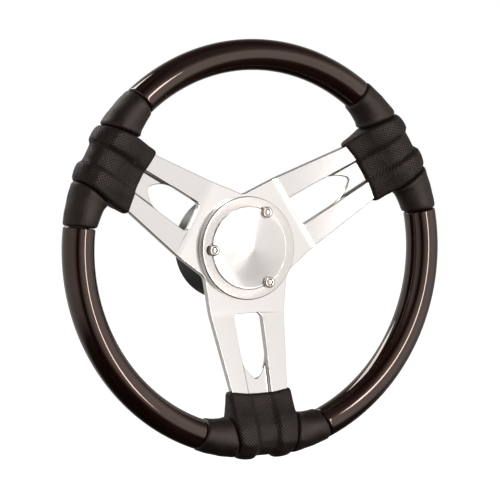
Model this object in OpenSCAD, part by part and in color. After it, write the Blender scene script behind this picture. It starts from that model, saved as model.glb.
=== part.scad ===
// Three-spoke boat steering wheel with its dash-mounted helm bezel and shaft.
// The wheel turns about Y. The driver is on the -Y side, +X is to the driver's right and +Z is up.
// The origin is the centre of the helm's mounting face on the dash.
// Every module below is drawn flat on the dash, with z as the height towards the driver, and face()
// turns it upright.

/* [Rim] */
// Outside diameter of the rim
rim_d = 350; // [320:1:400]
// Radial width of the rim section
rim_w = 26; // [22:0.5:32]
// Front-to-back depth of the rim section
rim_t = 31; // [24:0.5:36]
// Height of the rim's middle plane above the dash
rim_z = 62; // [55:0.5:75]
// Half angle that each grip covers about its spoke
grip_half = 21; // [15:0.5:28]
// Gap between a grip and the wood
joint_gap = 0.5; // [0.2:0.1:1]

/* [Spokes] */
// Thickness of the spider plate
plate_t = 6; // [4:0.5:9]
// Height of the spider's front face at the hub
plate_z = 45; // [43:0.5:50]
// Distance from the axis at which the spokes bend forward
bend_r = 54; // [50:0.5:60]
// Forward slope of the spokes, in degrees
slope = 15.5; // [8:0.5:22]
// Spoke half width 58 mm from the axis
arm_w1 = 35; // [28:0.5:40]
// Spoke half width at the grip
arm_w2 = 26.5; // [20:0.5:32]
// Distance from the axis at which the grips begin
cuff_r = 120; // [112:0.5:128]
// Half width of the window and channel at the hub end
slot_w1 = 13.3; // [10:0.1:16]
// Half width of the channel at the grip
slot_w2 = 10.6; // [8:0.1:14]
// Start of the window from the axis
slot_r1 = 55; // [54:0.5:60]
// Tip of the window from the axis
slot_r2 = 109; // [100:0.5:114]
// Depth of the channel
channel_d = 3; // [1.5:0.5:4]

/* [Hub] */
// Outside radius of the hub ring
ring_r = 43.5; // [40:0.5:50]
// Height of the hub ring
ring_h = 6.5; // [4:0.5:9]
// Radius of the centre cap
cap_r = 34.5; // [30:0.5:38]
// Rise of the cap's cone above its edge
cap_rise = 6.8; // [4:0.1:9]
// Radius of the cap screws' circle
cap_screw_r = 34; // [30:0.5:38]
// Radius of a cap screw's head
cap_head_r = 4.75; // [3.5:0.25:6]

/* [Helm] */
// Radius of the bezel at the dash
bezel_r1 = 44; // [40:0.5:55]
// Radius of the bezel at its front
bezel_r2 = 41; // [34:0.5:50]
// Height of the bezel
bezel_h = 36.5; // [25:0.5:37]
// Bezel wall thickness
bezel_t = 2.5; // [1.5:0.5:4]
// Radius of the shaft in its bushes
shaft_r = 10; // [8:0.5:12]
// Running clearance of the shaft in its bushes
run = 0.04; // [0.01:0.01:0.1]
// Depth of the housing barrel behind the dash
barrel_l = 34; // [20:1:60]
// Radius of the housing barrel
barrel_r = 21; // [18:0.5:26]
// Circle diameter of the dash screws
dash_pcd = 62; // [56:1:70]

/* [Hidden] */
$fn = 96;
rim_c = rim_d / 2 - rim_w / 2;             // centreline radius of the rim
sec_r = rim_w / 2;                         // radius of the two halves of the rim section
sec_s = (rim_t - rim_w) / 2;               // straight part on each side of the middle
spokes = [30, 150, 270];                   // spoke directions
wood_at = [90, 210, 330];                  // middle directions of the wood arcs
leather_t = 1.5;
skin = 0.2;                                // the leather stands this much proud of the wood
gap_a = joint_gap / rim_c * 180 / PI / 2;  // half the joint gap, as an angle
flat_r = 128;                              // where the spokes turn level again
arm_end = 167;                             // end of the spokes, inside the grips
taper = (arm_w1 - arm_w2) / (119 - 58);    // loss of half width per mm along a spoke
arm_z = plate_z + (flat_r - bend_r) * tan(slope);  // front face of the spoke ends
core_r1 = 152;                             // rim core ring, inner and outer radius
core_r2 = 168;
core_t = 5;
core_z = arm_z - plate_t;                  // front of the core ring, on the back of the spoke ends
part_z = core_z;                           // joint plane between the front and back wood
bar_r = 152;                               // straight bar that fills the grip's inner side
bar_w = 52.9;                              // its half length
cap_z = plate_z + ring_h + 1.5;            // front of the cap's edge
seat_z = cap_z - 2.5;                      // rebate in the ring that takes the cap
cone_k = cap_rise / (cap_r - 2.5);         // slope of the cap's cone
hub_r = 16;                                // adapter's hub
hub_z1 = 9;                                // adapter's back
nut_z = plate_z + 2;                       // adapter's nut seat
taper_k = 1 / 24;                          // shaft taper: 1 in 12 on the diameter
taper_z = 8.5;                             // start of the shaft's taper
post_r = 32;                               // bezel posts
post_at = [0, 120, 240];
rivet_at = [[156, 9], [156, -9]];
e = 0.01;

function half_w(r) = arm_w1 - (r - 58) * taper;
function slot_w(r) = slot_w1 - (r - slot_r1) * (slot_w1 - slot_w2) / (121 - slot_r1);
function front_line(r) = plate_z + (r - bend_r) * tan(slope);
function front_z(r) = front_line(max(bend_r, min(r, flat_r)));
function polar(r, a) = [r * cos(a), r * sin(a)];

// ---------------------------------------------------------------- helpers

module face() rotate([90, 0, 0]) children();

module along(a) rotate([0, 0, a]) children();

module ring(r1, r2, z1, z2)
    translate([0, 0, z1]) difference() {
        cylinder(r = r2, h = z2 - z1);
        translate([0, 0, -1]) cylinder(r = r1, h = z2 - z1 + 2);
    }

module rod(r, z1, z2) translate([0, 0, z1]) cylinder(r = r, h = z2 - z1);

// A side profile in (distance from the axis, height), extruded to +-w across the spoke.
module across(w)
    translate([0, w, 0]) rotate([90, 0, 0]) linear_extrude(2 * w) children();

// Rim section: two half circles joined by straight sides of half length s, grown by g.
module section2d(g = 0, s = sec_s)
    union() {
        translate([0, s]) circle(r = sec_r + g);
        translate([0, -s]) circle(r = sec_r + g);
        square([2 * (sec_r + g), 2 * s], center = true);
    }

module rim_arc(half, g = 0)
    rotate([0, 0, -half]) rotate_extrude(angle = 2 * half)
        translate([rim_c, rim_z]) section2d(g);

// ---------------------------------------------------------------- spider

// Side profile of one spoke: it starts inside the hub plate, slopes forward, then runs level inside
// the grip. c is a clearance all round.
module arm_side(c = 0) {
    s = plate_t * tan(slope / 2);
    r0 = bend_r - 6;
    polygon([
        [r0, front_line(r0) + c], [flat_r, arm_z + c], [arm_end + c, arm_z + c],
        [arm_end + c, core_z - c], [flat_r + s, core_z - c],
        [bend_r + 2, front_line(bend_r + 2) - plate_t / cos(slope) - c], [r0, plate_z - plate_t + 1]
    ]);
}

module arm_plan(c = 0) {
    r0 = bend_r - 6;
    r1 = bend_r - 0.4;
    polygon([
        [r0, -30], [r1 - 1, -30], [r1, -half_w(r1) - c], [arm_end + c, -half_w(arm_end) - c],
        [arm_end + c, half_w(arm_end) + c], [r1, half_w(r1) + c], [r1 - 1, 30], [r0, 30]
    ]);
}

module arm(c = 0)
    intersection() {
        across(60) arm_side(c);
        linear_extrude(90) arm_plan(c);
    }

// Flat middle of the spider, a six-sided plate with a notch between each two spokes.
module hub_plate() {
    r = bend_r + 0.4;
    w = half_w(r) - 0.2;
    notch = (arm_w1 + 58 * taper) / (sin(60) + taper * cos(60));
    translate([0, 0, plate_z - plate_t]) linear_extrude(plate_t) polygon([
        for (a = spokes) each [polar(norm([r, w]), a - atan(w / r)), polar(norm([r, w]), a + atan(w / r)),
                               polar(notch, a + 60)]
    ]);
}

// The window: square at the hub end with rounded corners, pointed like an arch at the rim end. It is
// a little wider than the channel that it opens into.
module slot2d() {
    r = 4.5;
    k = 85;
    wk = slot_w(k) + 0.3;
    arch = (pow(slot_r2 - k, 2) + pow(wk - 1.2, 2)) / (2 * (wk - 1.2));
    polygon([
        [slot_r1 + r, -slot_w1], [k, -wk], [k, wk], [slot_r1 + r, slot_w1]
    ]);
    translate([slot_r1, -slot_w1 + r]) square([r + e, 2 * (slot_w1 - r)]);
    for (s = [-1, 1]) translate([slot_r1 + r, s * (slot_w1 - r)]) circle(r = r);
    intersection() {
        translate([k, wk - arch]) circle(r = arch);
        translate([k, arch - wk]) circle(r = arch);
        translate([k - e, -20]) square([slot_r2 - k + e, 40]);
    }
}

// The channel that runs from the window to the grip, with coved sides. It is cut square to the
// sloping face, and each side follows its own edge.
module channel() {
    a = atan((slot_w1 - slot_w2) / (121 - slot_r1) * cos(slope));
    translate([bend_r, 0, plate_z]) rotate([0, -slope, 0])
        intersection_for(s = [0, 1]) mirror([0, s, 0])
            translate([0, slot_w(bend_r), 0]) rotate([0, 0, -a]) translate([30, 0, 0])
                rotate([90, 0, 90]) linear_extrude(45) cove2d(channel_d, channel_d - 0.6);
}

// One half of the channel's section: depth d, with a cove of radius r in its corner.
module cove2d(d, r)
    difference() {
        translate([-60, -d]) square([60, d + 20]);
        difference() {
            translate([-r, -d]) square([r + 1, r]);
            translate([-r, r - d]) circle(r = r);
        }
    }

module spoke_spider()
    color([0.86, 0.86, 0.87]) face() difference() {
        union() {
            hub_plate();
            for (a = spokes) along(a) arm();
        }
        rod(hub_r + 0.2, 0, 90);
        for (a = [0:60:300]) along(a) translate([23, 0, 0]) rod(2.5, 0, 90);
        for (a = [60, 180, 300]) along(a) translate([cap_screw_r, 0, 0]) rod(2.5, 0, 90);
        for (a = spokes) along(a) {
            linear_extrude(120) slot2d();
            channel();
            for (p = rivet_at) translate([p[0], p[1], 0]) rod(2.5, 0, 90);
        }
    }

// ---------------------------------------------------------------- rim

module rim_core_ring()
    color([0.6, 0.6, 0.62]) face() difference() {
        ring(core_r1, core_r2, core_z - core_t, core_z);
        for (a = spokes, p = rivet_at) along(a) translate([p[0], p[1], 0]) rod(2.5, 0, 90);
    }

module rim_rivets()
    color([0.55, 0.55, 0.57]) face() for (a = spokes, p = rivet_at) along(a) translate([p[0], p[1], 0]) {
        rod(2.45, core_z - core_t - 1.5, arm_z + 1.5);
        rod(4, core_z - core_t - 1.5, core_z - core_t);
        rod(4, arm_z, arm_z + 1.5);
    }

module wood(i, z1, z2)
    color([0.2, 0.08, 0.05]) face() along(wood_at[i - 1]) difference() {
        intersection() {
            rim_arc(60 - grip_half - gap_a);
            rod(rim_d, z1, z2);
        }
        ring(core_r1 - 0.1, core_r2 + 0.1, core_z - core_t - 0.1, core_z);
    }

module wood_front(i) wood(i, part_z, rim_z + rim_t);
module wood_back(i) wood(i, 0, part_z);

// Outside of a grip, shrunk by t: the rim section, a straight bar on its inner side, and the web
// that reaches down over the spoke.
module grip_form(t) {
    g = skin - t;
    rim_arc(grip_half - gap_a, g);
    across(bar_w) translate([bar_r, rim_z]) section2d(g - 0.8, sec_s - 0.6);
    intersection() {
        across(40) web_side(t);
        linear_extrude(120) web_plan(t);
    }
}

// Side profile of the web: thin at the cuff, as thick as the rim where it joins it.
module web_side(t)
    polygon([
        [cuff_r + t, front_z(cuff_r + t) + 2.2 - t], [flat_r, arm_z + 3.6 - t], [137, 73 - t],
        [145, 75.6 - t], [bar_r, 76 - t], [bar_r, 48 + t],
        [145, 48.4 + t], [137, 51 + t], [flat_r, core_z - 4.6 + t],
        [cuff_r + t, front_z(cuff_r + t) - plate_t - 2.4 + t]
    ]);

module web_plan(t) {
    w = 30.5 - t;
    polygon([
        [100, -w], [133, -w], [160, t - 26.5], [160, 26.5 - t], [133, w], [100, w]
    ]);
}

module grip_core(i)
    color([0.1, 0.1, 0.1]) face() along(spokes[i - 1]) difference() {
        grip_form(leather_t);
        arm(0.1);
        ring(core_r1 - 0.1, core_r2 + 0.1, core_z - core_t - 0.1, core_z + 0.1);
        for (p = rivet_at) translate([p[0], p[1], 0])
            rod(4.1, core_z - core_t - 1.6, arm_z + 1.6);
    }

module leather()
    difference() {
        grip_form(0);
        grip_form(leather_t);
        arm(0.1);
        ring(core_r1 - 0.1, core_r2 + 0.1, core_z - core_t - 0.1, core_z + 0.1);
    }

// Plan of the perforated panel, which narrows towards the outside of the rim.
module panel_plan()
    polygon([
        [100, -45], [133, -45], [133, -31], [182, -24], [182, 24], [133, 31], [133, 45], [100, 45]
    ]);

module grip_panel(i)
    color([0.16, 0.14, 0.13]) face() along(spokes[i - 1]) intersection() {
        leather();
        linear_extrude(120) panel_plan();
    }

module grip_sleeve(i, side)
    color([0.13, 0.12, 0.11]) face() along(spokes[i - 1]) intersection() {
        leather();
        linear_extrude(120) mirror([0, side < 0 ? 1 : 0])
            polygon([[133.1, 31.05], [182, 24.1], [182, 100], [133.1, 100]]);
    }

// ---------------------------------------------------------------- hub

module hub_ring()
    color([0.82, 0.82, 0.83]) face() difference() {
        union() {
            rod(ring_r, plate_z, plate_z + ring_h - 0.8);
            translate([0, 0, plate_z + ring_h - 0.8]) cylinder(r1 = ring_r, r2 = ring_r - 0.8, h = 0.8);
        }
        rod(30.7, plate_z - 1, 90);
        rod(cap_r + 0.2, seat_z, 90);
        for (a = [60, 180, 300]) along(a) translate([cap_screw_r, 0, 0]) rod(2.6, 0, 90);
    }

module centre_cap()
    color([0.88, 0.88, 0.89]) face() difference() {
        union() {
            rod(cap_r, seat_z, cap_z);
            translate([0, 0, cap_z]) cylinder(r1 = cap_r - 1.5, r2 = 1, h = cap_rise);
        }
        rod(30.5, seat_z - 1, cap_z - 1.1);
        translate([0, 0, cap_z - 1.1]) cylinder(r1 = 30.5, r2 = 1, h = 29.5 * cone_k);
        for (a = [60, 180, 300]) along(a) translate([cap_screw_r, 0, 0]) {
            rod(2.6, 0, 90);
            rod(cap_head_r + 0.2, cap_z, 90);
        }
    }

module cap_screws()
    color([0.9, 0.9, 0.9]) face() for (a = [60, 180, 300]) along(a) translate([cap_screw_r, 0, 0])
        difference() {
            union() {
                rod(2.45, plate_z - plate_t + 0.5, cap_z + e);
                rod(cap_head_r, cap_z, cap_z + 2.4);
                translate([0, 0, cap_z + 2.4]) cylinder(r1 = cap_head_r, r2 = cap_head_r - 0.6, h = 0.6);
            }
            translate([0, 0, cap_z + 1]) cylinder(r = 2.3, h = 3, $fn = 6);
        }

module keyway() translate([shaft_r - 2.5, -2.4, 20]) cube([4.5, 4.8, 18]);

module hub_adapter()
    color([0.7, 0.7, 0.72]) face() difference() {
        union() {
            rod(hub_r, hub_z1, plate_z);
            rod(30.2, plate_z, plate_z + 3);
        }
        translate([0, 0, hub_z1 - 1])
            cylinder(r1 = shaft_r + 0.02 - (hub_z1 - 1 - taper_z) * taper_k,
                     r2 = shaft_r + 0.02 - (nut_z + 1 - taper_z) * taper_k, h = nut_z - hub_z1 + 2);
        rod(13, nut_z, 90);
        intersection() {
            keyway();
            rod(30, 0, 90);
        }
        for (a = [0:60:300]) along(a) translate([23, 0, 0]) {
            rod(2.6, 0, 90);
            translate([0, 0, plate_z + 0.4]) cylinder(r1 = 2.6, r2 = 5.2, h = 2.6 + e);
        }
    }

module adapter_screws()
    color([0.6, 0.6, 0.62]) face() for (a = [0:60:300]) along(a) translate([23, 0, 0]) {
        rod(2.45, plate_z - plate_t + 0.3, plate_z + 0.4 + e);
        translate([0, 0, plate_z + 0.4]) cylinder(r1 = 2.45, r2 = 4.9, h = 2.45);
    }

module helm_shaft()
    color([0.75, 0.75, 0.77]) face() difference() {
        union() {
            rod(8, -52, -38);
            translate([0, 0, -53]) cylinder(r1 = 7, r2 = 8, h = 1);
            rod(shaft_r, -38, taper_z);
            rod(14, 5.3, taper_z);
            translate([0, 0, taper_z])
                cylinder(r1 = shaft_r, r2 = shaft_r - (nut_z - taper_z) * taper_k, h = nut_z - taper_z);
            rod(6, nut_z - e, 55.2);
            translate([0, 0, 55.2]) cylinder(r1 = 6, r2 = 5.2, h = 0.8);
        }
        ring(9, 12, -37.1, -35.7);
        keyway();
    }

// Half-round key in the shaft's taper.
module woodruff_key()
    color([0.5, 0.5, 0.52]) face() intersection() {
        translate([shaft_r + 1.9, 0, 29]) rotate([90, 0, 0]) cylinder(r = 8, h = 4.7, center = true);
        translate([shaft_r - 2.4, -5, 20.1]) cube([4.3, 10, 17.8]);
    }

module shaft_washer()
    color([0.6, 0.6, 0.62]) face() ring(6.2, 11.5, nut_z, nut_z + 1.8);

module shaft_nut()
    color([0.6, 0.6, 0.62]) face() difference() {
        translate([0, 0, nut_z + 1.8]) cylinder(r = 10.4, h = 6.5, $fn = 6);
        rod(6.05, 0, 90);
    }

module shaft_thrust_washer()
    color([0.7, 0.7, 0.72]) face() ring(shaft_r + 0.1, 17, -35.6, -barrel_l - 0.3);

module shaft_circlip()
    color([0.3, 0.3, 0.32]) face() difference() {
        ring(9.05, 13.5, -37, -35.8);
        translate([0, -1.5, -38]) cube([20, 3, 4]);
    }

// ---------------------------------------------------------------- helm

module bearing_housing()
    color([0.5, 0.5, 0.52]) face() difference() {
        union() {
            rod(38, 0, 5);
            rod(barrel_r, -barrel_l, 0);
            for (a = post_at) along(a + 30) translate([post_r, 0, 0]) rod(4, 5 - e, bezel_h - 3);
        }
        rod(13, -barrel_l - 1, 6);
        for (a = [0:90:270]) along(a + 45) translate([dash_pcd / 2, 0, 0]) rod(2.75, -1, 6);
        for (a = post_at) along(a + 30) translate([post_r, 0, 0]) rod(2, bezel_h - 15, 90);
    }

module bush(z) color([0.72, 0.55, 0.3]) face() ring(shaft_r + run, 12.98, z, z + 12);

module helm_bezel()
    color([0.06, 0.06, 0.06]) face() difference() {
        union() {
            translate([0, 0, 1.2]) cylinder(r1 = bezel_r1, r2 = bezel_r2, h = bezel_h - 3.2);
            rod(bezel_r1, 0, 1.2);
            translate([0, 0, bezel_h - 2]) cylinder(r1 = bezel_r2, r2 = bezel_r2 - 2, h = 2);
        }
        translate([0, 0, -1])
            cylinder(r1 = bezel_r1 - bezel_t, r2 = bezel_r2 - bezel_t, h = bezel_h - 2);
        rod(hub_r + 1.5, 0, 90);
        for (a = post_at) along(a + 30) translate([post_r, 0, 0]) {
            rod(2.2, 0, 90);
            translate([0, 0, bezel_h - 2]) cylinder(r1 = 2.2, r2 = 4.2, h = 2 + e);
        }
    }

module bezel_screws()
    color([0.1, 0.1, 0.1]) face() for (a = post_at) along(a + 30) translate([post_r, 0, 0]) {
        rod(1.95, bezel_h - 13, bezel_h - 2 + e);
        translate([0, 0, bezel_h - 2]) cylinder(r1 = 1.95, r2 = 3.9, h = 1.9);
    }

// ---------------------------------------------------------------- nodes

bearing_housing();
bush(-33);  // bush_rear
bush(-8);  // bush_front
helm_bezel();
bezel_screws();
helm_shaft();
shaft_thrust_washer();
shaft_circlip();
woodruff_key();
hub_adapter();
shaft_washer();
shaft_nut();
adapter_screws();
spoke_spider();
hub_ring();
centre_cap();
cap_screws();
rim_core_ring();
rim_rivets();
wood_front(1);  // wood_front_1
wood_front(2);  // wood_front_2
wood_front(3);  // wood_front_3
wood_back(1);  // wood_back_1
wood_back(2);  // wood_back_2
wood_back(3);  // wood_back_3
grip_core(1);  // grip_core_1
grip_core(2);  // grip_core_2
grip_core(3);  // grip_core_3
grip_panel(1);  // grip_panel_1
grip_panel(2);  // grip_panel_2
grip_panel(3);  // grip_panel_3
grip_sleeve(1, 1);  // grip_sleeve_ccw_1
grip_sleeve(2, 1);  // grip_sleeve_ccw_2
grip_sleeve(3, 1);  // grip_sleeve_ccw_3
grip_sleeve(1, -1);  // grip_sleeve_cw_1
grip_sleeve(2, -1);  // grip_sleeve_cw_2
grip_sleeve(3, -1);  // grip_sleeve_cw_3
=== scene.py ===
import math

import bmesh
import bpy
import numpy as np
from mathutils import Matrix, Vector

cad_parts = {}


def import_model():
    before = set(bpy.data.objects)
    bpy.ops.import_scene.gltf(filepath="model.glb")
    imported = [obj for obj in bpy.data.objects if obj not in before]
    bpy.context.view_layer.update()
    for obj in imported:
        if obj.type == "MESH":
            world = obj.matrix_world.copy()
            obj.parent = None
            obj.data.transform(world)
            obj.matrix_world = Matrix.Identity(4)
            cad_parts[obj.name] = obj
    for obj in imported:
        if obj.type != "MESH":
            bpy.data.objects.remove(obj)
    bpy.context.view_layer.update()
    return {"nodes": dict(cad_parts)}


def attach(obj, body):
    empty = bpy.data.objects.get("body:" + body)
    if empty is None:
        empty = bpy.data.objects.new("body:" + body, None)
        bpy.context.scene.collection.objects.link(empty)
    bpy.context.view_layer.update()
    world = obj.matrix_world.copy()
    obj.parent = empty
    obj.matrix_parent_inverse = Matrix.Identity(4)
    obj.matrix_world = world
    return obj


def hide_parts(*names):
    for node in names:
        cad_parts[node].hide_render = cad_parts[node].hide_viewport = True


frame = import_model()
NODES = frame["nodes"]

# The wheel is described in its own axes, in mm: x to the driver's right, y up, z towards the driver,
# measured from the dash. An arm's own axes are rho along the spoke, b across it, and z.
SPOKES = (30, 150, 270)
WOOD_AT = (90, 210, 330)

# Rim: its centreline, and half of its section's width and depth. A grip spans GRIP_HALF degrees on
# each side of its spoke.
RIM_R, RIM_Z = 162.0, 62.0
SECTION_A, SECTION_B = 13.0, 15.5
GRIP_HALF = 21.0
END_GAP = 0.25
LEATHER_T = 1.5

# Spider: a flat hub plate, spokes that slope between two bends, and level ends inside the grips.
HUB_Z, PLATE_T = 45.0, 6.0
BEND_R, FLAT_R, ARM_END = 54.0, 128.0, 167.0
BEND_EASE = 4.0
SLOPE = math.tan(math.radians(15.5))
TAPER = 8.5 / 61.0
CHANNEL_END, COVE_R, COVE_STEP = 129.0, 2.4, 0.6
RIVET_RHO, RIVET_B = 156.0, 9.0

# The front of the ring inside the rim, where the two halves of the wood meet.
PART_Z = HUB_Z + (FLAT_R - BEND_R) * SLOPE - PLATE_T
CORE_RING_R, CORE_RING_HALF, CORE_RING_T = 160.0, 8.0, 5.0

# Hub: the raised ring, the cap and its screws, and the bezel behind them.
RING_R, RING_Z = 43.5, 51.5
CAP_R, CAP_Z, CAP_RISE = 34.5, 53.0, 6.8
CAP_SLOPE = CAP_RISE / (CAP_R - 2.5)
CAP_SEAT_Z = 50.5
SCREWS_R, SCREWS_AT = 34.0, (60, 180, 300)
SHANK_R, HEAD_R, HEAD_TOP = 2.45, 4.75, 56.0
SHANK_HOLE_R = 2.5
BEZEL_Z, POST_R = 36.5, 32.0


def half_w(rho):
    """Half width of a spoke at rho."""
    return 35.0 - (rho - 58.0) * TAPER


def slot_w(rho):
    """Half width of a spoke's window and channel at rho."""
    return 13.3 - (rho - 55.0) * 2.7 / 66.0


def turned(p, degrees):
    """Points turned about the wheel's axis."""
    a = math.radians(degrees)
    p = np.asarray(p, float)
    x = p[..., 0] * math.cos(a) - p[..., 1] * math.sin(a)
    y = p[..., 0] * math.sin(a) + p[..., 1] * math.cos(a)
    return np.stack([x, y, p[..., 2]], -1)


def world(p):
    """Wheel axes in mm to the row frame in metres."""
    p = np.asarray(p, float)
    return np.stack([p[..., 0], -p[..., 2], p[..., 1]], -1) * 0.001


# ---------------------------------------------------------------- mesh helpers


def mesh(name, verts, faces, uv=None):
    """A mesh object from points in wheel axes. uv has one pair for each corner of each face."""
    me = bpy.data.meshes.new(name)
    me.from_pydata(world(verts).tolist(), [], faces)
    if uv is not None:
        layer = me.uv_layers.new(name="UVMap")
        layer.data.foreach_set("uv", np.asarray(uv, np.float32).ravel())
    me.validate()
    obj = bpy.data.objects.new(name, me)
    bpy.context.scene.collection.objects.link(obj)
    return obj


def normals_out(obj):
    """Turns the faces of a closed mesh outwards."""
    bm = bmesh.new()
    bm.from_mesh(obj.data)
    bmesh.ops.recalc_face_normals(bm, faces=bm.faces)
    bm.to_mesh(obj.data)
    bm.free()


def shade(obj, angle=35):
    """Smooth shading, with edges sharper than the angle kept sharp."""
    obj.data.shade_smooth()
    obj.data.set_sharp_from_angle(angle=math.radians(angle))


def applied(obj):
    """Replaces the object's mesh by the result of its modifiers."""
    bpy.context.view_layer.update()
    result = bpy.data.meshes.new_from_object(obj.evaluated_get(bpy.context.evaluated_depsgraph_get()))
    obj.modifiers.clear()
    obj.data = result


def cut(obj, tool):
    """Takes the tool's volume out of the object."""
    m = obj.modifiers.new("cut", "BOOLEAN")
    m.operation, m.solver, m.object = "DIFFERENCE", "EXACT", tool
    applied(obj)
    bpy.data.objects.remove(tool)


def bevelled(obj, width):
    """Eases every edge sharper than 35 degrees, by a width in mm."""
    m = obj.modifiers.new("edges", "BEVEL")
    m.width, m.segments, m.limit_method = width * 0.001, 2, "ANGLE"
    m.angle_limit, m.use_clamp_overlap, m.harden_normals = math.radians(35), False, False
    applied(obj)


def rounded(corners, step=15):
    """A closed outline from corners (x, y, radius)."""
    out, n = [], len(corners)
    for i, (x, y, r) in enumerate(corners):
        p = Vector((x, y))
        u = (Vector(corners[i - 1][:2]) - p).normalized()
        v = (Vector(corners[(i + 1) % n][:2]) - p).normalized()
        if r <= 0:
            out.append((x, y))
            continue
        half = u.angle(v) / 2
        centre = p + (u + v).normalized() * (r / math.sin(half))
        a, b = p + u * (r / math.tan(half)) - centre, p + v * (r / math.tan(half)) - centre
        turn = a.angle_signed(b)
        k = max(2, int(abs(math.degrees(turn)) / step) + 1)
        for j in range(k + 1):
            t = -turn * j / k
            c, s = math.cos(t), math.sin(t)
            out.append((centre.x + a.x * c - a.y * s, centre.y + a.x * s + a.y * c))
    return out


def lathe(name, outline, n=192, at=(0, 0), closed=True):
    """A turned solid. outline is (radius, height) pairs; a closed one is a loop clear of the axis, and an
    open one starts and ends on the axis. A radius may be a function of the angle."""
    ang = np.arange(n) * 2 * math.pi / n
    body = outline if closed else outline[1:-1]
    verts = []
    for r, z in body:
        rr = r(ang) if callable(r) else np.full(n, float(r))
        verts.append(np.stack([at[0] + rr * np.cos(ang), at[1] + rr * np.sin(ang), np.full(n, z)], -1))
    m = len(body)
    faces = [
        (i * n + j, i * n + (j + 1) % n, (i + 1) % m * n + (j + 1) % n, (i + 1) % m * n + j)
        for i in range(m if closed else m - 1)
        for j in range(n)
    ]
    verts = np.concatenate(verts)
    if not closed:
        first, last = len(verts), len(verts) + 1
        verts = np.concatenate([verts, [[at[0], at[1], outline[0][1]], [at[0], at[1], outline[-1][1]]]])
        faces += [(first, (j + 1) % n, j) for j in range(n)]
        faces += [(last, (m - 1) * n + j, (m - 1) * n + (j + 1) % n) for j in range(n)]
    obj = mesh(name, verts, faces)
    normals_out(obj)
    return obj


def prism(outline, z1, z2, name="tool"):
    """An outline in plan, extruded from z1 to z2."""
    n = len(outline)
    verts = [(x, y, z1) for x, y in outline] + [(x, y, z2) for x, y in outline]
    faces = [tuple(range(n - 1, -1, -1)), tuple(range(n, 2 * n))]
    faces += [(i, (i + 1) % n, n + (i + 1) % n, n + i) for i in range(n)]
    obj = mesh(name, verts, faces)
    normals_out(obj)
    return obj


def joined(objs):
    """One object from several."""
    bm = bmesh.new()
    for o in objs:
        bm.from_mesh(o.data)
    bm.to_mesh(objs[0].data)
    bm.free()
    for o in objs[1:]:
        bpy.data.objects.remove(o)
    return objs[0]


def circle(x, y, r, n=32):
    """A circular outline of n points."""
    return [(x + r * math.cos(2 * math.pi * i / n), y + r * math.sin(2 * math.pi * i / n)) for i in range(n)]


def polar(r, degrees):
    """Plan position at a radius and an angle."""
    return r * math.cos(math.radians(degrees)), r * math.sin(math.radians(degrees))


def piece(obj, body, slot, *nodes):
    """Puts the object on its body, in a slot's material, in place of its CAD nodes."""
    obj.data.materials.clear()
    obj.data.materials.append(MAT[slot])
    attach(obj, body)
    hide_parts(*nodes)
    return obj


# ---------------------------------------------------------------- materials


def new_material(name, **sockets):
    """A material with its Principled shader's constant sockets set, and its node helper."""
    mat = bpy.data.materials.new(name)
    mat.use_nodes = True
    tree = mat.node_tree
    shader = tree.nodes["Principled BSDF"]
    for key, value in sockets.items():
        shader.inputs[key.replace("_", " ")].default_value = value

    def node(kind, **settings):
        n = tree.nodes.new(kind)
        for key, value in settings.items():
            if key in n.inputs:
                n.inputs[key].default_value = value
            else:
                setattr(n, key, value)
        return n

    def link(a, b):
        tree.links.new(a, b)

    return mat, shader, node, link


def ramp(node, link, source, stops):
    """A colour from a value, between stops of (value, colour)."""
    r = node("ShaderNodeValToRGB")
    while len(r.color_ramp.elements) < len(stops):
        r.color_ramp.elements.new(0.5)
    for el, (at, colour) in zip(r.color_ramp.elements, stops):
        el.position = at
        el.color = (*colour, 1)
    link(source, r.inputs["Fac"])
    return r.outputs["Color"]


def metal(name, dark, light, rough, spread, grain=900.0, bump=0.0, **sockets):
    """Metal with a fine variation of colour and roughness."""
    mat, shader, node, link = new_material(name, Metallic=1.0, **sockets)
    at = node("ShaderNodeTexCoord")
    noise = node("ShaderNodeTexNoise", Scale=grain, Detail=5.0, Roughness=0.6)
    link(at.outputs["Object"], noise.inputs["Vector"])
    link(ramp(node, link, noise.outputs["Fac"], [(0.3, dark), (0.7, light)]), shader.inputs["Base Color"])
    change = node("ShaderNodeMapRange")
    change.inputs["To Min"].default_value = rough - spread / 2
    change.inputs["To Max"].default_value = rough + spread / 2
    link(noise.outputs["Fac"], change.inputs["Value"])
    link(change.outputs["Result"], shader.inputs["Roughness"])
    if bump:
        b = node("ShaderNodeBump", Strength=bump, Distance=0.0002)
        link(noise.outputs["Fac"], b.inputs["Height"])
        link(b.outputs["Normal"], shader.inputs["Normal"])
    return mat, shader, node, link


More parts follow.
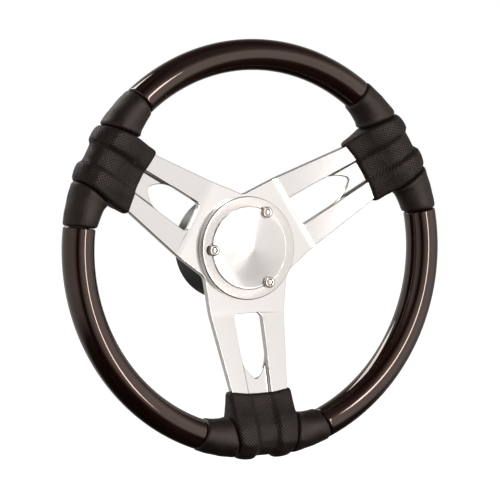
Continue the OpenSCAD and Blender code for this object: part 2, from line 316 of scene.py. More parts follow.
def leather(name, dark, light, perforated):
    """Pebble-grained leather, with staggered holes through it where it is perforated."""
    mat, shader, node, link = new_material(
        name, Roughness=0.42, Specular_IOR_Level=0.55, Specular_Tint=(1.0, 0.90, 0.84, 1.0),
        Sheen_Weight=0.02, Sheen_Roughness=0.4,
    )
    at = node("ShaderNodeTexCoord")
    pebble = node("ShaderNodeTexVoronoi", Scale=820.0, feature="F1")
    broad = node("ShaderNodeTexNoise", Scale=70.0, Detail=6.0, Roughness=0.65)
    fine = node("ShaderNodeTexNoise", Scale=2600.0, Detail=3.0)
    for n in (pebble, broad, fine):
        link(at.outputs["Object"], n.inputs["Vector"])
    colour = ramp(node, link, broad.outputs["Fac"], [(0.3, dark), (0.72, light)])
    height = node("ShaderNodeMath", operation="MULTIPLY_ADD")
    link(pebble.outputs["Distance"], height.inputs[0])
    height.inputs[1].default_value = -0.8
    link(fine.outputs["Fac"], height.inputs[2])
    rough = node("ShaderNodeMapRange")
    rough.inputs["To Min"].default_value = 0.33
    rough.inputs["To Max"].default_value = 0.47
    link(broad.outputs["Fac"], rough.inputs["Value"])
    link(rough.outputs["Result"], shader.inputs["Roughness"])
    top = node("ShaderNodeBump", Strength=0.7, Distance=0.00030)
    link(height.outputs[0], top.inputs["Height"])
    if perforated:
        uv = node("ShaderNodeUVMap", uv_map="UVMap")
        place = node("ShaderNodeMapping")
        place.inputs["Rotation"].default_value = (0, 0, math.radians(45))
        holes = node("ShaderNodeTexVoronoi", Scale=100.0 / 2.05, voronoi_dimensions="2D", Randomness=0.0)
        link(uv.outputs["UV"], place.inputs["Vector"])
        link(place.outputs["Vector"], holes.inputs["Vector"])
        solid = node("ShaderNodeMapRange", interpolation_type="SMOOTHSTEP")
        solid.inputs["From Min"].default_value = 0.22
        solid.inputs["From Max"].default_value = 0.33
        link(holes.outputs["Distance"], solid.inputs["Value"])
        # Inside each hole the colour is near black: painted shade in the holes.
        mix = node("ShaderNodeMix", data_type="RGBA")
        mix.inputs["A"].default_value = (0.002, 0.0018, 0.0016, 1)
        link(solid.outputs["Result"], mix.inputs["Factor"])
        link(colour, mix.inputs["B"])
        colour = mix.outputs["Result"]
        deep = node("ShaderNodeBump", Strength=1.0, Distance=0.0006)
        link(solid.outputs["Result"], deep.inputs["Height"])
        link(top.outputs["Normal"], deep.inputs["Normal"])
        link(deep.outputs["Normal"], shader.inputs["Normal"])
        dull = node("ShaderNodeMix", data_type="FLOAT")
        dull.inputs["A"].default_value = 0.95
        link(solid.outputs["Result"], dull.inputs["Factor"])
        link(rough.outputs["Result"], dull.inputs["B"])
        link(dull.outputs["Result"], shader.inputs["Roughness"])
    else:
        link(top.outputs["Normal"], shader.inputs["Normal"])
    link(colour, shader.inputs["Base Color"])
    return mat


def mahogany():
    """Dark mahogany under a thick clear gloss coat."""
    mat, shader, node, link = new_material(
        "mahogany", Roughness=0.045, Specular_IOR_Level=1.0, Specular_Tint=(1.0, 0.76, 0.68, 1.0),
        Coat_Weight=0.3, Coat_Roughness=0.03, Coat_IOR=1.5,
    )
    uv = node("ShaderNodeUVMap", uv_map="UVMap")
    place = node("ShaderNodeMapping")
    place.inputs["Scale"].default_value = (1.2, 16.0, 1.0)
    grain = node("ShaderNodeTexNoise", Scale=3.0, Detail=8.0, Roughness=0.65, Distortion=0.8)
    pores = node("ShaderNodeTexNoise", Scale=26.0, Detail=2.0)
    link(uv.outputs["UV"], place.inputs["Vector"])
    link(place.outputs["Vector"], grain.inputs["Vector"])
    link(place.outputs["Vector"], pores.inputs["Vector"])
    base = ramp(
        node, link, grain.outputs["Fac"],
        [(0.3, (0.012, 0.0035, 0.0025)), (0.55, (0.024, 0.0075, 0.005)), (0.75, (0.050, 0.016, 0.009))],
    )
    dots = ramp(node, link, pores.outputs["Fac"], [(0.35, (0.35, 0.35, 0.35)), (0.5, (1, 1, 1))])
    mix = node("ShaderNodeMix", data_type="RGBA", blend_type="MULTIPLY")
    mix.inputs["Factor"].default_value = 0.7
    link(base, mix.inputs["A"])
    link(dots, mix.inputs["B"])
    link(mix.outputs["Result"], shader.inputs["Base Color"])
    return mat


def plain(name, dark, light, rough, scale, bump):
    """Paint or foam with a fine grain."""
    mat, shader, node, link = new_material(name, Roughness=rough)
    at = node("ShaderNodeTexCoord")
    noise = node("ShaderNodeTexNoise", Scale=scale, Detail=5.0, Roughness=0.6)
    link(at.outputs["Object"], noise.inputs["Vector"])
    link(ramp(node, link, noise.outputs["Fac"], [(0.3, dark), (0.7, light)]), shader.inputs["Base Color"])
    b = node("ShaderNodeBump", Strength=bump, Distance=0.0002)
    link(noise.outputs["Fac"], b.inputs["Height"])
    link(b.outputs["Normal"], shader.inputs["Normal"])
    return mat


def spun(name, dark, light, rough, lines, sheen=0.75):
    """Turned metal: fine rings about the wheel's axis, with the fan-shaped sheen that they give."""
    mat, shader, node, link = metal(name, dark, light, rough, 0.05, 500.0, Anisotropic=sheen)
    tangent = node("ShaderNodeTangent", direction_type="RADIAL", axis="Y")
    link(tangent.outputs["Tangent"], shader.inputs["Tangent"])
    at = node("ShaderNodeTexCoord")
    wave = node("ShaderNodeTexWave", Scale=lines, Distortion=0.6, Detail=2.0)
    wave.wave_type, wave.rings_direction = "RINGS", "Y"
    link(at.outputs["Object"], wave.inputs["Vector"])
    b = node("ShaderNodeBump", Strength=0.03, Distance=0.00002)
    link(wave.outputs["Fac"], b.inputs["Height"])
    link(b.outputs["Normal"], shader.inputs["Normal"])
    return mat


MAT = {
    "polished_aluminium": metal(
        "polished_aluminium", (0.86, 0.845, 0.83), (0.90, 0.89, 0.88), 0.17, 0.04, 1400.0, 0.03
    )[0],
    "turned_aluminium": spun("turned_aluminium", (0.78, 0.75, 0.73), (0.87, 0.84, 0.82), 0.16, 260.0),
    "spun_aluminium": spun("spun_aluminium", (0.92, 0.905, 0.89), (0.97, 0.96, 0.95), 0.32, 240.0, 0.80),
    "chrome": metal("chrome", (0.55, 0.51, 0.47), (0.66, 0.62, 0.58), 0.08, 0.03)[0],
    "stainless": metal("stainless", (0.50, 0.49, 0.48), (0.66, 0.65, 0.64), 0.28, 0.1)[0],
    "dark_steel": metal("dark_steel", (0.16, 0.16, 0.17), (0.26, 0.26, 0.27), 0.38, 0.12)[0],
    "bronze": metal("bronze", (0.50, 0.30, 0.13), (0.66, 0.42, 0.20), 0.38, 0.12)[0],
    "cast_alloy": metal("cast_alloy", (0.34, 0.34, 0.35), (0.48, 0.48, 0.49), 0.52, 0.1, 700.0, 0.5)[0],
    "black_satin": plain("black_satin", (0.030, 0.026, 0.022), (0.042, 0.037, 0.032), 0.36, 1800.0, 0.12),
    "foam_core": plain("foam_core", (0.02, 0.02, 0.02), (0.05, 0.05, 0.05), 0.9, 900.0, 0.8),
    "mahogany": mahogany(),
    "perforated_leather": leather(
        "perforated_leather", (0.014, 0.0092, 0.0070), (0.028, 0.0190, 0.0148), True
    ),
    "grained_leather": leather(
        "grained_leather", (0.015, 0.0098, 0.0075), (0.030, 0.0200, 0.0155), False
    ),
}

# CAD pieces that are shown as they are, and the slot of each.
CARRIED = {
    "bearing_housing": "cast_alloy", "bush_rear": "bronze", "bush_front": "bronze",
    "bezel_screws": "dark_steel", "helm_shaft": "stainless", "shaft_thrust_washer": "stainless",
    "shaft_circlip": "dark_steel", "woodruff_key": "dark_steel", "hub_adapter": "cast_alloy",
    "shaft_washer": "stainless", "shaft_nut": "stainless", "adapter_screws": "stainless",
    "rim_core_ring": "cast_alloy", "rim_rivets": "stainless",
}
for name, slot in CARRIED.items():
    NODES[name].data.materials.clear()
    NODES[name].data.materials.append(MAT[slot])


# ---------------------------------------------------------------- spider


def bend(rho):
    """Height gained by the front of a spoke at rho, with both bends eased."""
    t = np.linspace(0, 1, 65)
    eased = BEND_EASE * (2 * t - 1)
    knots = np.concatenate([[0.0], BEND_R + eased, FLAT_R + eased, [200.0]])
    s = t * t * (3 - 2 * t)
    rate = np.concatenate([[0.0], SLOPE * s, SLOPE * (1 - s), [0.0]])
    gain = np.concatenate([[0.0], np.cumsum((rate[1:] + rate[:-1]) / 2 * np.diff(knots))])
    return np.interp(rho, knots, gain), np.interp(rho, knots, rate)


def window():
    """Plan of a window: square at the hub end, pointed like an arch at the other."""
    wk = slot_w(85.0) + 0.3
    arch = (24.0**2 + (wk - 1.2) ** 2) / (2 * (wk - 1.2))
    side = [(85 + 24 * t, wk - arch + math.sqrt(arch**2 - (24 * t) ** 2)) for t in np.linspace(0, 1, 17)]
    hub_end = rounded([(55, 13.3, 4.5), (55, -13.3, 4.5), (85, -wk, 0), (85, wk, 0)])
    hub_end = [p for p in hub_end if p[0] < 84.9]
    return hub_end + [(x, -y) for x, y in side] + side[::-1]


def channel_tool(a):
    """The coved channel between a window and the grip."""
    cove = [
        (COVE_R - COVE_R * math.cos(t), -COVE_STEP - COVE_R * math.sin(t))
        for t in np.radians(np.arange(0, 91, 15))
    ]
    half = [(0.0, PLATE_T), *cove]
    verts = []
    for rho in (80.0, CHANNEL_END):
        w = slot_w(rho)
        verts += [(rho, -w + s, HUB_Z + z) for s, z in half]
        verts += [(rho, w - s, HUB_Z + z) for s, z in half[::-1]]
    n = len(verts) // 2
    faces = [tuple(range(n)), tuple(range(2 * n - 1, n - 1, -1))]
    faces += [(i, (i + 1) % n, n + (i + 1) % n, n + i) for i in range(n)]
    obj = mesh("tool", turned(verts, a), faces)
    normals_out(obj)
    return obj


def spider():
    """The plate cut flat, sliced across its bends, then bent and eased along its edges."""
    notch = (35.0 + 58.0 * TAPER) / (math.sin(math.radians(60)) + TAPER * 0.5) - 1.0
    corners = []
    for a in SPOKES:
        for b in (-half_w(ARM_END), half_w(ARM_END)):
            x, y, _ = turned([ARM_END, b, 0.0], a)
            corners.append((x, y, 3.0))
        corners.append((*polar(notch, a + 60), 8.0))
    plate = prism(rounded(corners, 10), HUB_Z - PLATE_T, HUB_Z, "spider")
    holes = [circle(0, 0, 16.2, 96)]
    holes += [circle(*polar(23, a), SHANK_HOLE_R) for a in range(0, 360, 60)]
    holes += [circle(*polar(SCREWS_R, a), SHANK_HOLE_R) for a in SCREWS_AT]
    for a in SPOKES:
        holes.append([tuple(turned([x, y, 0.0], a)[:2]) for x, y in window()])
        holes += [circle(*turned([RIVET_RHO, b, 0.0], a)[:2], SHANK_HOLE_R) for b in (-RIVET_B, RIVET_B)]
    cut(plate, joined([prism(h, HUB_Z - PLATE_T - 5, HUB_Z + 5) for h in holes]))
    cut(plate, joined([channel_tool(a) for a in SPOKES]))
    bm = bmesh.new()
    bm.from_mesh(plate.data)
    for a in SPOKES:
        x, y = polar(1.0, a)
        out = Vector((x, 0, y))
        for rho in (mid + step for mid in (BEND_R, FLAT_R) for step in range(-4, 5)):
            whole = bm.verts[:] + bm.edges[:] + bm.faces[:]
            bmesh.ops.bisect_plane(bm, geom=whole, plane_co=out * rho * 0.001, plane_no=out)
    co = np.array([v.co for v in bm.verts]) * 1000
    rho = np.max([co[:, 0] * polar(1, a)[0] + co[:, 2] * polar(1, a)[1] for a in SPOKES], 0)
    gain, rate = bend(rho)
    height = HUB_Z + gain + (-co[:, 1] - HUB_Z) * np.sqrt(1 + rate**2)
    for v, z in zip(bm.verts, height):
        v.co.y = -z * 0.001
    bm.to_mesh(plate.data)
    bm.free()
    bevelled(plate, 0.7)
    shade(plate, 50)
    flats = plate.modifiers.new("flats", "WEIGHTED_NORMAL")
    flats.weight, flats.keep_sharp = 100, True
    applied(plate)
    return plate


piece(spider(), "wheel", "polished_aluminium", "spoke_spider")


# ---------------------------------------------------------------- hub

SCREWS = [polar(SCREWS_R, a) for a in SCREWS_AT]


def screw_holes(r, z=30):
    """Tools for the cap screws' holes, from z to well in front of the cap."""
    return joined([prism(circle(x, y, r, 64), z, 70) for x, y in SCREWS])


ring = lathe("ring", rounded([
    (30.7, HUB_Z, 0.3), (RING_R, HUB_Z, 0.3), (RING_R, RING_Z, 1.0), (CAP_R + 0.4, RING_Z, 0.4),
    (CAP_R + 0.4, CAP_SEAT_Z, 0), (30.7, CAP_SEAT_Z, 0),
]), 256)
cut(ring, screw_holes(SHANK_HOLE_R + 0.1))
shade(ring)
piece(ring, "wheel", "turned_aluminium", "hub_ring")


def cone(z, r):
    """Height of the cap's cone, whose outside meets the lip at z, with its tip eased."""
    return z + CAP_SLOPE * (CAP_R - 1.5 - np.hypot(r, 1.2))


outside = [(r, cone(CAP_Z, r)) for r in (0, 0.4, 0.8, 1.2, 1.8, 2.6, 4, 8, 16, 24, 32.6)]
lip = rounded([(33.2, CAP_Z, 0), (CAP_R, CAP_Z, 0.5), (CAP_R, CAP_SEAT_Z, 0.2), (30.5, CAP_SEAT_Z, 0)])
inside = [(r, cone(CAP_Z - 1.6, r)) for r in (30.5, 20, 10, 4, 1, 0)]
cap = lathe("cap", outside + lip + inside, 256, closed=False)
cut(cap, screw_holes(SHANK_HOLE_R + 0.1))
cut(cap, screw_holes(HEAD_R + 0.2, CAP_Z))
shade(cap)
piece(cap, "wheel", "spun_aluminium", "centre_cap")


def hexagon(apothem):
    """A hexagon's radius as a function of the angle."""
    return lambda t: apothem / np.cos(np.mod(t, math.pi / 3) - math.pi / 6)


def cap_screw(x, y):
    """A socket-head screw: its shank, its head, and the hexagon sunk in the head."""
    shank = [(0, 39.5), (SHANK_R - 0.25, 39.5), (SHANK_R, 39.8), (SHANK_R, CAP_Z)]
    head = rounded([(SHANK_R, CAP_Z, 0), (HEAD_R, CAP_Z, 0.15), (HEAD_R, HEAD_TOP, 1.1), (3.0, HEAD_TOP, 0)])
    socket = [(3.0, HEAD_TOP)]
    socket += [(hexagon(r), HEAD_TOP - down) for r, down in ((2.25, 0.2), (2.0, 0.5), (2.0, 2.0))]
    socket += [(0, HEAD_TOP - 2.4)]
    return lathe("screws", shank + head[1:-1] + socket, 96, (x, y), closed=False)


screws = joined([cap_screw(x, y) for x, y in SCREWS])
shade(screws)
piece(screws, "wheel", "chrome", "cap_screws")

# ---------------------------------------------------------------- helm bezel

bezel = lathe("bezel", rounded([
    (41.5, 0, 0), (44, 0, 0.4), (43.9, 1.2, 0.6), (40.6, BEZEL_Z, 2.2), (17.5, BEZEL_Z, 0.4),
    (17.5, BEZEL_Z - 3, 0), (38.5, BEZEL_Z - 3, 1.5),
], 8), 256)
sink = [(0, 30), (2.2, 30), (2.2, BEZEL_Z - 2), (4.4, BEZEL_Z + 0.2), (0, BEZEL_Z + 0.2)]
sinks = [lathe("tool", sink, 48, polar(POST_R, a), closed=False) for a in SPOKES]
cut(bezel, joined(sinks))
shade(bezel)
piece(bezel, "helm", "black_satin", "helm_bezel")

# ---------------------------------------------------------------- wood

WOOD_HALF = 60 - GRIP_HALF - math.degrees(END_GAP / RIM_R)
END_R = 1.6  # radius of the wood's rounded ends
AROUND = 14.3  # mm round the section for each radian
GROOVE_HALF, GROOVE_T = CORE_RING_HALF + 0.1, CORE_RING_T + 0.1


def section(front, inset):
    """Section of one half of the wood as (radius, height, distance round it)."""
    a, b = SECTION_A - inset, SECTION_B - inset
    start = math.asin((PART_Z - RIM_Z) / b)
    if front:
        t = np.linspace(start, math.pi - start, 45)
    else:
        t = np.linspace(math.pi - start, 2 * math.pi + start, 45)
    pts = [(RIM_R + a * math.cos(x), RIM_Z + b * math.sin(x), x * AROUND) for x in t]
    if not front:
        outer, inner = CORE_RING_R + GROOVE_HALF, CORE_RING_R - GROOVE_HALF
        floor_z = PART_Z - GROOVE_T
        pts += [(outer, PART_Z, 0.0), (outer, floor_z, 0.0), (inner, floor_z, 0.0), (inner, PART_Z, 0.0)]
    return pts


def wood(i, front):
    """Half of a wooden arc, lofted along the rim, with its two ends rounded over."""
    ease = [(END_R * (1 - math.cos(p)), END_R * (1 - math.sin(p))) for p in np.radians(np.arange(0, 90, 15))]
    span = math.radians(WOOD_HALF) * RIM_R
    along = [(-span + s, inset) for s, inset in ease]
    along += [(s, 0.0) for s in np.linspace(-span + END_R, span - END_R, 121)]
    along += [(span - s, inset) for s, inset in ease[::-1]]
    verts, lengths = [], []
    for s, inset in along:
        for r, z, v in section(front, inset):
            t = s / RIM_R
            verts.append((r * math.cos(t), r * math.sin(t), z))
            lengths.append((s / 100, v / 100))
    n, m = len(section(front, 0)), len(along)
    faces = [
        (k * n + j, k * n + (j + 1) % n, (k + 1) * n + (j + 1) % n, (k + 1) * n + j)
        for k in range(m - 1)
        for j in range(n)
    ]
    faces += [tuple(range(n - 1, -1, -1)), tuple(range((m - 1) * n, m * n))]
    uv = [lengths[v] for f in faces for v in f]
    name = f"wood_{'front' if front else 'back'}_{i}"
    obj = mesh("loft_" + name, turned(verts, WOOD_AT[i - 1]), faces, uv)
    normals_out(obj)
    shade(obj, 40)
    piece(obj, "wheel", "mahogany", name)


for i in (1, 2, 3):
    wood(i, True)
    wood(i, False)

# ---------------------------------------------------------------- grips


def smin(a, b, k):
    """The lesser of two distances, blended over k mm."""
    h = np.maximum(k - np.abs(a - b), 0) / k
    return np.minimum(a, b) - h * h * k / 4


def smax(a, b, k):
    """The greater of two distances, blended over k mm."""
    return -smin(-a, -b, k)


def ellipse(u, w, a, b):
    """Signed distance from an ellipse, near enough close to it."""
    q = np.sqrt((u / a) ** 2 + (w / b) ** 2)
    g = np.sqrt((u / a**2) ** 2 + (w / b**2) ** 2)
    return np.where(g > 1e-4, q * (q - 1) / np.maximum(g, 1e-4), -min(a, b))


def seam(rho):
    """Half width of the perforated panel."""
    return np.where(rho < 134, 31.0, 31.0 - (rho - 134) * 6 / 41)


# Height of the grip's front and back over the spoke, from the rim's middle plane.
WEB_RHO = np.array([110.0, 119.0, 130.0, 140.0, 150.0, 160.0])
WEB_TOP = np.array([0.6, 3.0, 7.0, 11.4, 14.0, 14.6])
WEB_BOTTOM = np.array([-6.6, -7.4, -9.3, -11.8, -14.0, -14.6])


def padding(p):
    """Signed distance from the outside of a grip before it is cut into pieces."""
    rho, b, w = p[:, 0], p[:, 1], p[:, 2] - RIM_Z
    rim = ellipse(np.hypot(rho, b) - RIM_R, w, 13.7, 15.8)
    bar = smax(ellipse(rho - 152.0, w, 12.5, 14.4), np.abs(b) - 53.5, 5)
    top = (w - np.interp(rho, WEB_RHO, WEB_TOP)) * 0.93
    bottom = (np.interp(rho, WEB_RHO, WEB_BOTTOM) - w) * 0.96
    web = smax(smax(top, bottom, 4), np.abs(b) - 30.6, 7)
    web = smax(web, rho - 160.0, 3)
    return smin(smin(rim, bar, 4), web, 7)


def unevenness(p):
    """The slight waviness of leather pulled over foam."""
    return 0.11 * (
        np.sin(p[:, 0] * 0.31 + 1.3 * np.sin(p[:, 1] * 0.17)) * np.sin(p[:, 2] * 0.27 + 0.4)
        + np.sin(p[:, 1] * 0.43 + p[:, 2] * 0.21 + 2.0) * np.sin(p[:, 0] * 0.19 + 0.9)
    )


def cuff(p):
    """Signed distance from the cuff, where the leather ends over the spoke in a shallow curve."""
    return 121.2 - 3.7 * (p[:, 1] / 30) ** 2 - p[:, 0]


def panel_form(p):
    """The panel: a ridge on each side, and a lower middle between two creases."""
    rho, b = p[:, 0], np.abs(p[:, 1])
    t = np.clip((b - 4.0) / np.interp(rho, [118, 176], [10.0, 8.0]), 0, 1)
    valley = 1 - t * t * (3 - 2 * t)
    crease = np.exp(-(((b - 8.0) / 2.2) ** 2))
    depth = np.interp(rho, [118, 128, 142], [0.9, 1.7, 2.7])
    swell = 0.5 + 0.7 * np.exp(-(((b - 17) / 6) ** 2))
    f = padding(p) - swell + depth * (valley + 0.3 * crease) + unevenness(p)
    ear = np.stack([b - 25.8, cuff(p) + 4.8], -1)
    ear = np.where(ear.min(-1) > 0, np.linalg.norm(ear, axis=-1), ear.max(-1)) - 4.8
    ear = np.where(rho < 130, ear, cuff(p))
    return smax(smax(f, b - seam(rho), 4.0), ear, 2.4)


def sleeve_form(p, side):
    """A sleeve, from the seam beside the panel to the wood. side is 1 or -1."""
    rho, b = p[:, 0], p[:, 1] * side
    end = (np.arctan2(b, rho) - math.radians(GRIP_HALF) + END_GAP / RIM_R) * RIM_R
    f = padding(p) + unevenness(p)
    return smax(smax(f, seam(rho) + 0.5 - b, 4.0), end, 3.0)


def spoke_form(p, clear):
    """The spoke that runs through a grip, with its channel and some clearance."""
    rho, b, z = p[:, 0], np.abs(p[:, 1]), p[:, 2]
    gain, rate = bend(rho)
    inward = np.clip(slot_w(rho) - clear - b, 0, COVE_R)
    groove = np.where(inward > 0, COVE_STEP + np.sqrt(COVE_R**2 - (COVE_R - inward) ** 2), 0)
    groove = np.where(rho < CHANNEL_END - clear, groove, 0)
    top = z - (HUB_Z + gain + clear - groove)
    bottom = HUB_Z + gain - PLATE_T * np.sqrt(1 + rate**2) - clear - z
    sides = np.maximum(b - half_w(rho) - clear, rho - ARM_END - 0.4)
    return np.maximum(np.maximum(top, bottom), sides)


def core_ring_form(p, clear):
    """The ring inside the rim and its rivets, with some clearance."""
    half_t = CORE_RING_T / 2
    r = np.hypot(p[:, 0], p[:, 1])
    band = np.abs(r - CORE_RING_R) - CORE_RING_HALF - clear
    flat = np.maximum(band, np.abs(p[:, 2] - PART_Z + half_t) - half_t - clear)
    pin = np.hypot(p[:, 0] - RIVET_RHO, np.abs(p[:, 1]) - RIVET_B) - 4 - clear
    return np.minimum(flat, np.maximum(pin, np.abs(p[:, 2] - PART_Z - 0.5) - 7.1 - clear))


def skin(form):
    """The form of leather of even thickness on another form, turned in a little way at its edges."""
    def leather_form(p):
        f = form(p)
        f = np.maximum(f, -f - LEATHER_T)
        f = np.maximum(f, -padding(p) - 6.0)
        return np.maximum(f, -spoke_form(p, 0.2))

    return leather_form


def core_form(p):
    """The foam under the leather, round the spoke and the ring."""
    outer = np.minimum(panel_form(p), np.minimum(sleeve_form(p, 1), sleeve_form(p, -1))) + LEATHER_T + 0.1
    ends = (np.abs(np.arctan2(p[:, 1], p[:, 0])) - math.radians(GRIP_HALF)) * RIM_R + 2
    f = np.minimum(outer, np.maximum(np.maximum(padding(p) + 6.1, cuff(p) + 4), ends))
    return np.maximum(f, -np.minimum(spoke_form(p, 0.1), core_ring_form(p, 0.1)))


def cell_points(f, grid, h):
    """In each cell of the grid that the zero level crosses, the mean of its crossings of the cell's edges.
    Gives the points and, for each cell, the number of its point or -1."""
    inside = f < 0
    cells = tuple(n - 1 for n in f.shape)
    total, count = np.zeros((*cells, 3)), np.zeros(cells)
    for axis in range(3):
        u, v = [k for k in range(3) if k != axis]
        for i in (0, 1):
            for j in (0, 1):
                near = [slice(0, n) for n in cells]
                near[u] = slice(i, i + cells[u])
                near[v] = slice(j, j + cells[v])
                far = list(near)
                far[axis] = slice(1, 1 + cells[axis])
                near, far = tuple(near), tuple(far)
                cross = inside[near] != inside[far]
                t = np.where(cross, f[near] / np.where(cross, f[near] - f[far], 1), 0)
                at = grid[near].copy()
                at[..., axis] += t * h
                total += np.where(cross[..., None], at, 0)
                count += cross
    used = count > 0
    index = np.full(cells, -1)
    index[used] = np.arange(used.sum())
    return total[used] / count[used][:, None], index


def crossing_quads(inside, index):
    """A quad for each grid edge that the zero level crosses, between the four cells round that edge."""
    quads = []
    for axis in range(3):
        u, v = [k for k in range(3) if k != axis]
        near = [slice(1, n - 1) for n in inside.shape]
        near[axis] = slice(0, inside.shape[axis] - 1)
        far = list(near)
        far[axis] = slice(1, inside.shape[axis])
        start = np.array([1, 1, 1])
        start[axis] = 0
        cross = np.argwhere(inside[tuple(near)] != inside[tuple(far)]) + start
        du, dv = np.eye(3, dtype=int)[u], np.eye(3, dtype=int)[v]
        quad = np.stack([index[tuple((cross + o).T)] for o in (-du - dv, -dv, 0 * du, -du)], -1)
        flip = inside[tuple(cross.T)] == (axis == 1)
        quad[flip] = quad[flip][:, ::-1]
        quads.append(quad)
    return np.concatenate(quads)


def surface(form, lo, hi, h):
    """Quads on a form's zero level: one vertex in each cell that it crosses, then drawn onto it."""
    axes = [np.arange(a, b + h, h) for a, b in zip(lo, hi)]
    grid = np.stack(np.meshgrid(*axes, indexing="ij"), -1)
    f = form(grid.reshape(-1, 3)).reshape(grid.shape[:3])
    verts, index = cell_points(f, grid, h)
    quads = crossing_quads(f < 0, index)
    reach = 0.02
    for _ in range(3):
        slope = np.stack([form(verts + o) - form(verts - o) for o in reach * np.eye(3)], -1) / (2 * reach)
        size = np.maximum((slope**2).sum(-1), 0.25)
        verts = verts - np.clip(form(verts) / size, -0.4 * h, 0.4 * h)[:, None] * slope
    return verts, quads


def leather_uv(verts, quads):
    """Unrolls the panel from its cuff over the front, round the rim and back, in units of 100 mm."""
    p = verts[quads]
    edge1, edge2 = p[:, 2] - p[:, 0], p[:, 3] - p[:, 1]
    n = np.abs(np.cross(edge1, edge2))
    n /= np.maximum(np.linalg.norm(n, axis=-1, keepdims=True), 1e-9)
    w = p[..., 2] - RIM_Z
    front = (w.mean(1) > 0)[:, None]
    over = np.where(
        p[..., 0] > 158,
        np.arctan2(p[..., 0] - 158, w) * 15.0,
        np.where(front, p[..., 0] - 158, math.pi * 15.0 + 158 - p[..., 0]),
    )
    side = ((n[:, 1] > 0.7) & (np.abs(p[..., 1]).mean(1) > 26))[:, None]
    u = np.where(side, p[..., 2], p[..., 1])
    v = np.where(side, p[..., 0] - 158, over)
    return np.stack([u, v], -1).reshape(-1, 2) / 100


def grip(kind, form, lo, hi, cell, slot):
    """The same piece on each of the three grips, found in the box from lo to hi of an arm's axes."""
    verts, quads = surface(form, lo, hi, cell)
    uv = leather_uv(verts, quads)
    for i, a in enumerate(SPOKES, 1):
        obj = mesh(f"soft_{kind}_{i}", turned(verts, a), quads.tolist(), uv)
        shade(obj, 60)
        piece(obj, "wheel", slot, f"grip_{kind}_{i}")


CELL = 0.9
BACK, FRONT = 42, 82
grip("panel", skin(panel_form), (114, -34, BACK), (180, 34, FRONT), CELL, "perforated_leather")
grip("sleeve_ccw", skin(lambda p: sleeve_form(p, 1)), (128, 22, BACK), (180, 70, FRONT), CELL,
     "grained_leather")
grip("sleeve_cw", skin(lambda p: sleeve_form(p, -1)), (128, -70, BACK), (180, -22, FRONT), CELL,
     "grained_leather")
grip("core", core_form, (114, -70, BACK), (180, 70, FRONT), 1.4, "foam_core")

# ---------------------------------------------------------------- stage

FAR, FLOOR_Y = 6000, -300
floor_corners = [(-FAR, FLOOR_Y, -FAR), (FAR, FLOOR_Y, -FAR), (FAR, FLOOR_Y, FAR), (-FAR, FLOOR_Y, FAR)]
floor = mesh("floor", floor_corners, [(0, 1, 2, 3)])
white = new_material(
    "floor", Roughness=0.9, Base_Color=(0.9, 0.9, 0.9, 1), Emission_Color=(1, 1, 1, 1), Emission_Strength=0.9
)[0]
floor.data.materials.append(white)
floor.visible_diffuse = floor.visible_glossy = False

# The studio: soft light all round the front at eye level with a dark gap beside the camera, and
# dark above and below. Azimuth is measured as the camera's is.
sky = bpy.data.worlds.new("sky")
bpy.context.scene.world = sky
sky.use_nodes = True
tree = sky.node_tree
tree.nodes.clear()


def sky_node(kind, *inputs, **settings):
    n = tree.nodes.new(kind)
    for key, value in settings.items():
        setattr(n, key, value)
    for socket, value in zip(n.inputs, inputs):
        if isinstance(value, bpy.types.NodeSocket):
            tree.links.new(value, socket)
        elif value is not None:
            socket.default_value = value
    return n


def sky_ramp(angle, span, stops):
    """Brightness against an angle in radians, from stops in degrees."""
    fac = sky_node("ShaderNodeMapRange", angle, -math.radians(span), math.radians(span))
    r = sky_node("ShaderNodeValToRGB", fac.outputs["Result"])
    while len(r.color_ramp.elements) < len(stops):
        r.color_ramp.elements.new(0.5)
    for el, (degrees, level) in zip(r.color_ramp.elements, stops):
        el.position = (degrees + span) / (2 * span)
        el.color = (level, level * 0.985, level * 0.97, 1)
    return r.outputs["Color"]


toward = sky_node("ShaderNodeSeparateXYZ", sky_node("ShaderNodeTexCoord").outputs["Generated"])
ahead = sky_node("ShaderNodeMath", toward.outputs["Y"], -1.0, operation="MULTIPLY")
azimuth = sky_node("ShaderNodeMath", toward.outputs["X"], ahead.outputs[0], operation="ARCTAN2")
height = sky_node("ShaderNodeMath", toward.outputs["Z"], operation="ARCSINE")
around = sky_ramp(azimuth.outputs[0], 180, [
    (-180, 0.42), (-150, 0.36), (-120, 0.38), (-75, 0.44), (-60, 0.22), (-52, 0.02), (-38, 0.02),
    (-28, 0.30), (-12, 0.62), (5, 0.72), (20, 0.75), (38, 0.76), (54, 0.76), (72, 0.54), (95, 0.25),
    (150, 0.26), (180, 0.42),
])
upward = sky_ramp(height.outputs[0], 90, [
    (-90, 0.02), (-50, 0.02), (-34, 0.08), (-24, 0.82), (-14, 1.0), (24, 1.0), (40, 0.28), (56, 0.12),
    (90, 0.12),
])
level = sky_node("ShaderNodeMix", data_type="RGBA", blend_type="MULTIPLY")
level.inputs["Factor"].default_value = 1.0
tree.links.new(around, level.inputs["A"])
tree.links.new(upward, level.inputs["B"])
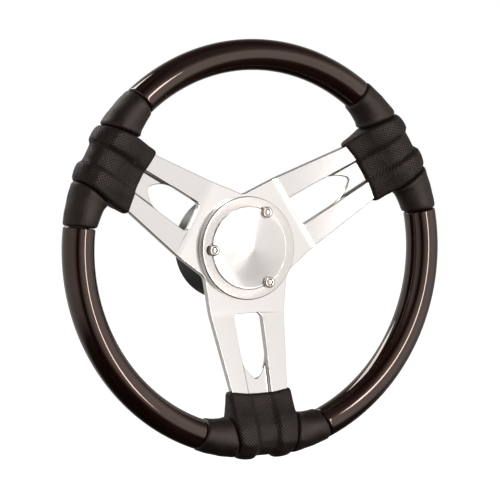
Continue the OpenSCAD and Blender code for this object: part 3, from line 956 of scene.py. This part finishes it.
lit = sky_node("ShaderNodeBackground", level.outputs["Result"], 1.25)
seen = sky_node("ShaderNodeBackground", (1, 1, 1, 1), 1.0)
path = sky_node("ShaderNodeLightPath")
mixed = sky_node("ShaderNodeMixShader", path.outputs["Is Camera Ray"], lit.outputs[0], seen.outputs[0])
sky_node("ShaderNodeOutputWorld", mixed.outputs["Shader"])


def light(name, azimuth, elevation, away, size, watts, colour=(1, 1, 1)):
    """A rectangular lamp, away metres from the wheel and facing it."""
    a, e = math.radians(azimuth), math.radians(elevation)
    at = Vector((math.sin(a) * math.cos(e), -math.cos(a) * math.cos(e), math.sin(e)))
    data = bpy.data.lights.new(name, "AREA")
    data.shape, data.size, data.size_y = "RECTANGLE", *size
    data.energy, data.color = watts, colour
    obj = bpy.data.objects.new(name, data)
    obj.location = at * away
    obj.rotation_euler = (-at).to_track_quat("-Z", "Y").to_euler()
    bpy.context.scene.collection.objects.link(obj)


light("strip", 12, 3, 2.2, (0.24, 1.7), 16, (1, 0.93, 0.91))
light("rear_edge", -160, 40, 2.2, (0.6, 1.2), 12)

EYE = {"azimuth": -27.49, "elevation": 2.77, "roll": -1.92, "away": 2.760, "lens": 237.7}
a, e, r = (math.radians(EYE[k]) for k in ("azimuth", "elevation", "roll"))
right = Vector((math.cos(a), math.sin(a), 0))
back = Vector((math.sin(a) * math.cos(e), -math.cos(a) * math.cos(e), math.sin(e)))
up = back.cross(right)
right, up = right * math.cos(r) + up * math.sin(r), up * math.cos(r) - right * math.sin(r)
eye = bpy.data.cameras.new("eye")
eye.sensor_width, eye.lens = 36, EYE["lens"]
eye.shift_x, eye.shift_y = -0.0092, -0.0030
eye.clip_start, eye.clip_end = 0.05, 50
camera = bpy.data.objects.new("eye", eye)
bpy.context.scene.collection.objects.link(camera)
camera.matrix_world = Matrix.Translation(Vector((0, -RIM_Z * 0.001, 0)) + back * EYE["away"]) @ Matrix(
    (right, up, back)
).transposed().to_4x4()
bpy.context.scene.camera = camera
bpy.context.scene.view_settings.view_transform = "Standard"
